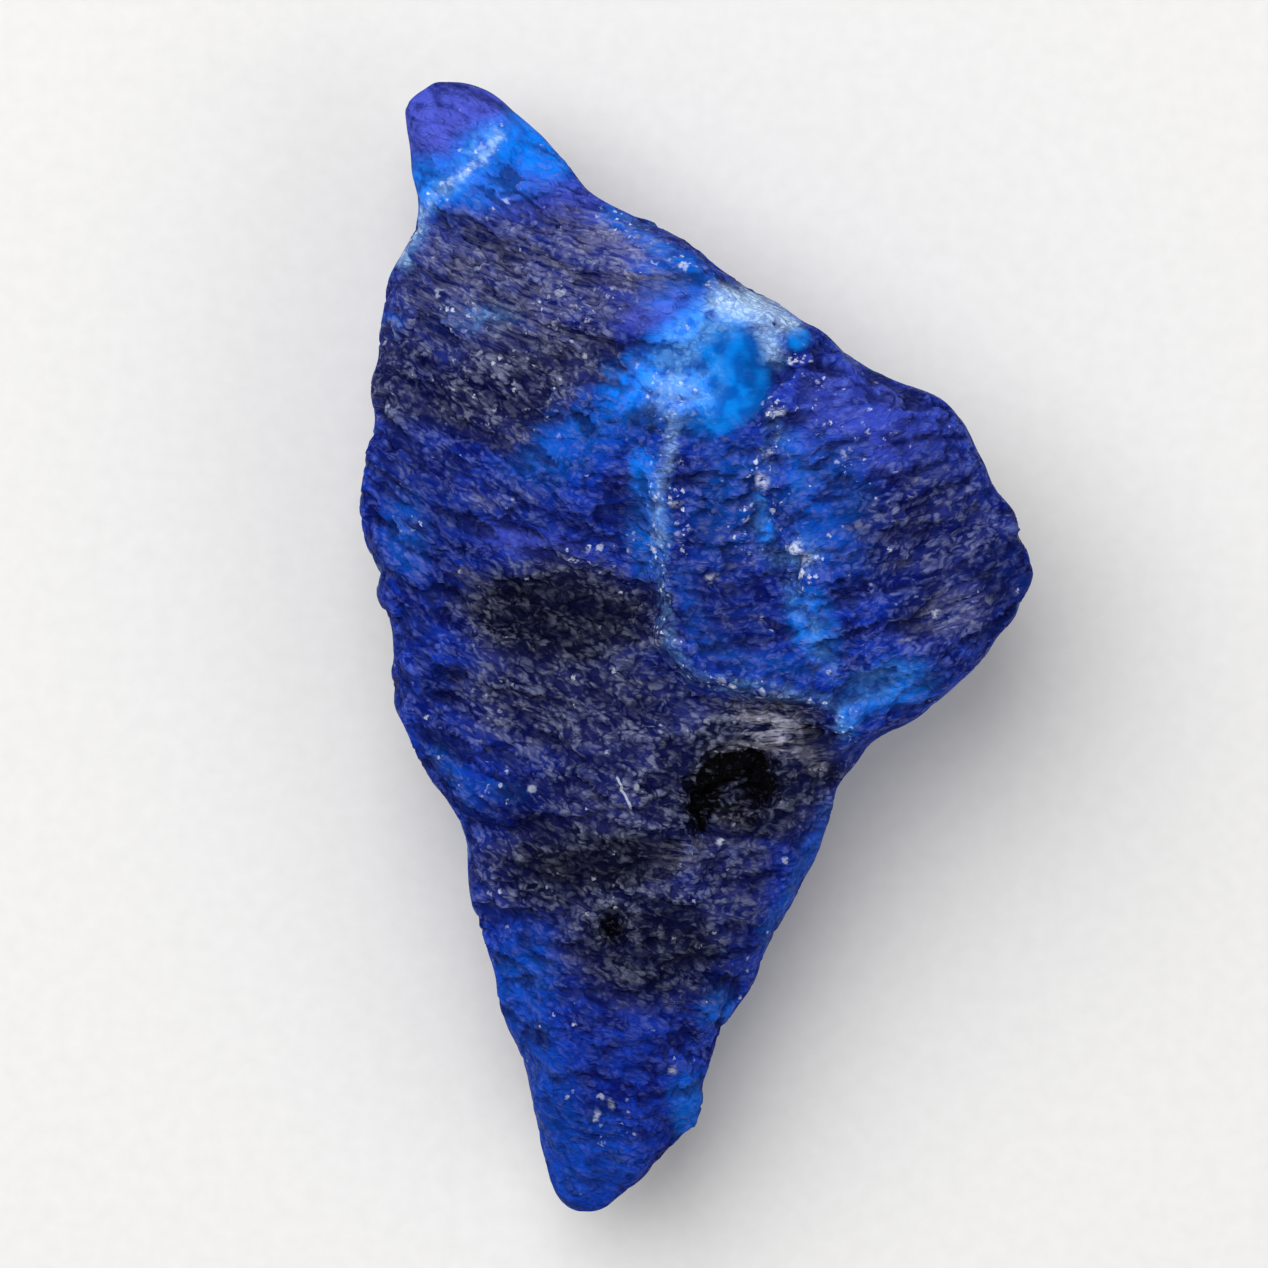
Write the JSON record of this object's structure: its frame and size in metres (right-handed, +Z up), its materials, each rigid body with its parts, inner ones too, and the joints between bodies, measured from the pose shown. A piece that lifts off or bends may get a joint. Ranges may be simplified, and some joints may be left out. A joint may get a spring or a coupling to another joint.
{
  "type": "hauyne specimen",
  "caption": "Rough natural shard of deep blue hauyne with a raised wing, a ledge and a deep pit, lying flat on its worn underside.",
  "frame": {"origin": "on the resting face, under the middle of the bounding box", "axes": "+Z up, away from the resting face; +Y along the shard from its pointed tail to its blunt head; +X towards the raised wing"},
  "size_m": [0.0282, 0.0472, 0.0132],
  "materials": {
    "hauyne": "rough fracture surface, deep blue patched with azure, violet and grey-black, with pale veins"
  },
  "bodies": {
    "root": {"hauyne_stone": "hauyne"}
  },
  "joints": []
}
